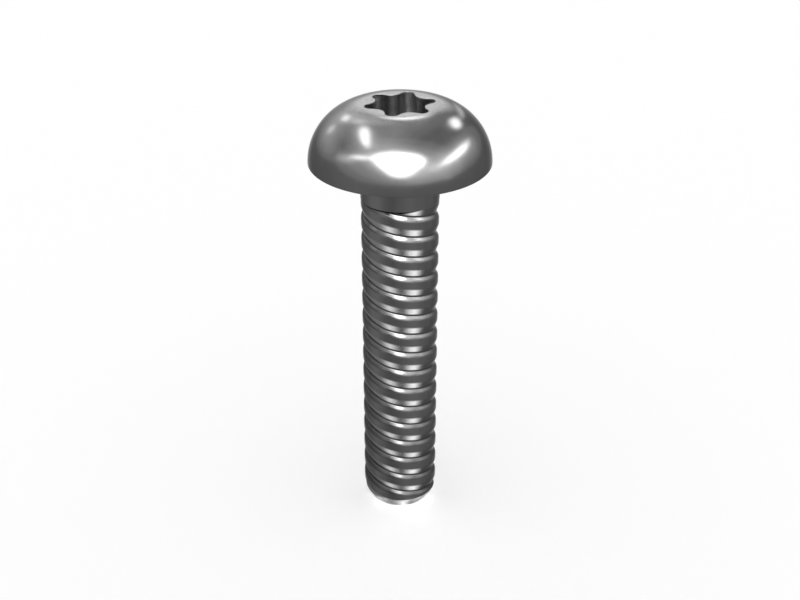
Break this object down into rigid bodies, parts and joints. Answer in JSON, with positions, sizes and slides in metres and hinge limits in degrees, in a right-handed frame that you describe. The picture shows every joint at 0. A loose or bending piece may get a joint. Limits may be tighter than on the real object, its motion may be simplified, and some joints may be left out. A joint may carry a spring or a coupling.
{
  "type": "truss head screw",
  "caption": "Machine screw with a wide domed head, a star-shaped drive recess, a plain neck, a coarse left-hand thread and a flat bevelled tip.",
  "frame": {"origin": "centre of the flat end face at the tip, on which the screw stands", "axes": "+Z along the screw's axis, from the tip up to the head; -Y is the side that the picture shows"},
  "size_m": [0.0114, 0.0114, 0.0287],
  "materials": {
    "dark_steel": "dark polished steel, glossy, with fine machining marks"
  },
  "bodies": {
    "root": {"truss_head_screw": "dark_steel"}
  },
  "joints": []
}
